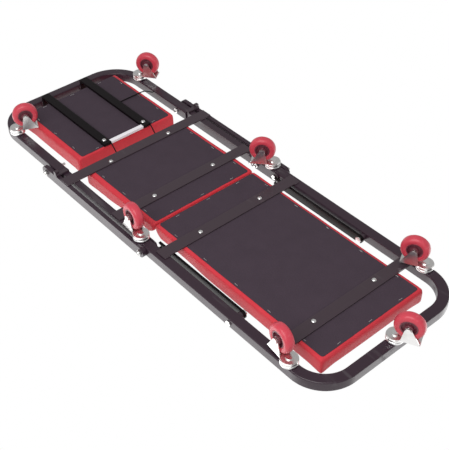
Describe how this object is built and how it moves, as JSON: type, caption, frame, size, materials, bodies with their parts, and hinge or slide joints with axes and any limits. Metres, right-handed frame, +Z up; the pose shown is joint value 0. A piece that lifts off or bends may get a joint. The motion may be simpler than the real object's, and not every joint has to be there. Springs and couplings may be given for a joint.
{
  "type": "folding creeper seat",
  "caption": "Rolling workshop creeper: a three-part padded steel frame on swivel casters that folds up into a low seat.",
  "frame": {"origin": "on the floor, on the centre line, straight below the axis where the middle section folds on the foot section", "axes": "+X towards the foot end, +Y towards the user's left as they lie on it facing up, +Z up"},
  "size_m": [1.2533, 0.4646, 0.116],
  "materials": {
    "black_frame": "semi-gloss black powder coat",
    "black_bar": "satin black paint",
    "grey_frame": "semi-gloss black powder coat",
    "board": "hardboard with a charcoal dust cloth",
    "vinyl": "red grained vinyl over foam",
    "white_zinc": "bright zinc plate",
    "zinc": "bright zinc plate",
    "chrome": "polished zinc plate",
    "tread": "red polyurethane tread",
    "hub": "dark plastic hub"
  },
  "bodies": {
    "foot_section": {"foot_frame": "black_frame", "knee_bar": "black_bar", "foot_bar": "black_bar", "foot_board": "board", "foot_cushion": "vinyl", "foot_bolts": "white_zinc", "prop_bolts": "zinc", "prop_spacers": "black_bar", "fold_bolts": "zinc", "base_races": "chrome"},
    "middle_section": {"side_bar_left": "grey_frame", "side_bar_right": "grey_frame", "mid_rail_left": "black_frame", "mid_rail_right": "black_frame", "back_bar": "black_bar", "seat_bar": "black_bar", "stop_blocks": "black_bar", "mid_board": "board", "mid_cushion": "vinyl", "mid_bolts": "white_zinc"},
    "head_section": {"head_frame": "black_frame", "head_bolts": "zinc", "head_races": "chrome", "pad_bar_left": "black_bar", "pad_bar_right": "black_bar", "pad_strap": "white_zinc", "head_board": "board", "head_cushion": "vinyl", "pad_screws": "white_zinc", "pad_wires": "black_bar"},
    "prop_left": {"prop_left": "black_bar"},
    "prop_right": {"prop_right": "black_bar"},
    "swivel_head_right": {"fork_head_right": "zinc", "axle_head_right": "zinc"},
    "wheel_head_right": {"tyre_head_right": "tread", "hub_head_right": "hub"},
    "swivel_head_left": {"fork_head_left": "zinc", "axle_head_left": "zinc"},
    "wheel_head_left": {"tyre_head_left": "tread", "hub_head_left": "hub"},
    "swivel_knee_left": {"fork_knee_left": "zinc", "axle_knee_left": "zinc"},
    "wheel_knee_left": {"tyre_knee_left": "tread", "hub_knee_left": "hub"},
    "swivel_knee_right": {"fork_knee_right": "zinc", "axle_knee_right": "zinc"},
    "wheel_knee_right": {"tyre_knee_right": "tread", "hub_knee_right": "hub"},
    "swivel_foot_right": {"fork_foot_right": "zinc", "axle_foot_right": "zinc"},
    "wheel_foot_right": {"tyre_foot_right": "tread", "hub_foot_right": "hub"},
    "swivel_foot_left": {"fork_foot_left": "zinc", "axle_foot_left": "zinc"},
    "wheel_foot_left": {"tyre_foot_left": "tread", "hub_foot_left": "hub"},
    "swivel_foot_end": {"fork_foot_end": "zinc", "axle_foot_end": "zinc"},
    "wheel_foot_end": {"tyre_foot_end": "tread", "hub_foot_end": "hub"}
  },
  "joints": [
    {"name": "fold", "type": "hinge", "parent": "foot_section", "child": "middle_section", "pos_m": [0, 0, 0.0925], "axis": [0, 1, 0], "range_deg": [0, 135]},
    {"name": "head_hinge", "type": "hinge", "parent": "middle_section", "child": "head_section", "pos_m": [-0.3785, 0, 0.0925], "axis": [0, 1, 0], "range_deg": [-135, 0]},
    {"name": "prop_left_pivot", "type": "hinge", "parent": "foot_section", "child": "prop_left", "pos_m": [0.286, 0.1722, 0.0925], "axis": [0, 1, 0], "range_deg": [0, 86.1]},
    {"name": "prop_right_pivot", "type": "hinge", "parent": "foot_section", "child": "prop_right", "pos_m": [0.286, -0.1722, 0.0925], "axis": [0, 1, 0], "range_deg": [0, 86.1]},
    {"name": "swivel_head_right", "type": "hinge", "parent": "head_section", "child": "swivel_head_right", "pos_m": [-0.555, -0.1925, 0.07], "axis": [0, 0, 1], "continuous": true},
    {"name": "wheel_head_right", "type": "hinge", "parent": "swivel_head_right", "child": "wheel_head_right", "pos_m": [-0.53452, -0.20684, 0.03175], "axis": [0.5736, 0.8192, 0], "continuous": true},
    {"name": "swivel_head_left", "type": "hinge", "parent": "head_section", "child": "swivel_head_left", "pos_m": [-0.555, 0.1925, 0.07], "axis": [0, 0, 1], "continuous": true},
    {"name": "wheel_head_left", "type": "hinge", "parent": "swivel_head_left", "child": "wheel_head_left", "pos_m": [-0.54483, 0.16966, 0.03175], "axis": [0.9135, 0.4067, 0], "continuous": true},
    {"name": "swivel_knee_left", "type": "hinge", "parent": "foot_section", "child": "swivel_knee_left", "pos_m": [-0.024, 0.1965, 0.07], "axis": [0, 0, 1], "continuous": true},
    {"name": "wheel_knee_left", "type": "hinge", "parent": "swivel_knee_left", "child": "wheel_knee_left", "pos_m": [-0.04894, 0.19476, 0.03175], "axis": [0.0698, -0.9976, 0], "continuous": true},
    {"name": "swivel_knee_right", "type": "hinge", "parent": "foot_section", "child": "swivel_knee_right", "pos_m": [-0.024, -0.1965, 0.07], "axis": [0, 0, 1], "continuous": true},
    {"name": "wheel_knee_right", "type": "hinge", "parent": "swivel_knee_right", "child": "wheel_knee_right", "pos_m": [-0.04287, -0.1801, 0.03175], "axis": [-0.6561, -0.7547, 0], "continuous": true},
    {"name": "swivel_foot_right", "type": "hinge", "parent": "foot_section", "child": "swivel_foot_right", "pos_m": [0.448, -0.1965, 0.07], "axis": [0, 0, 1], "continuous": true},
    {"name": "wheel_foot_right", "type": "hinge", "parent": "swivel_foot_right", "child": "wheel_foot_right", "pos_m": [0.42593, -0.18476, 0.03175], "axis": [-0.4695, -0.8829, 0], "continuous": true},
    {"name": "swivel_foot_left", "type": "hinge", "parent": "foot_section", "child": "swivel_foot_left", "pos_m": [0.448, 0.1965, 0.07], "axis": [0, 0, 1], "continuous": true},
    {"name": "wheel_foot_left", "type": "hinge", "parent": "swivel_foot_left", "child": "wheel_foot_left", "pos_m": [0.42319, 0.19345, 0.03175], "axis": [0.1219, -0.9925, 0], "continuous": true},
    {"name": "swivel_foot_end", "type": "hinge", "parent": "foot_section", "child": "swivel_foot_end", "pos_m": [0.5395, 0, 0.07], "axis": [0, 0, 1], "continuous": true},
    {"name": "wheel_foot_end", "type": "hinge", "parent": "swivel_foot_end", "child": "wheel_foot_end", "pos_m": [0.56178, -0.01135, 0.03175], "axis": [0.454, 0.891, 0], "continuous": true}
  ],
  "couplings": [
    {"joint": "head_hinge", "follows": "fold", "ratio": -1},
    {"joint": "prop_left_pivot", "follows": "fold", "ratio": 0.6376},
    {"joint": "prop_right_pivot", "follows": "fold", "ratio": 0.6376}
  ]
}
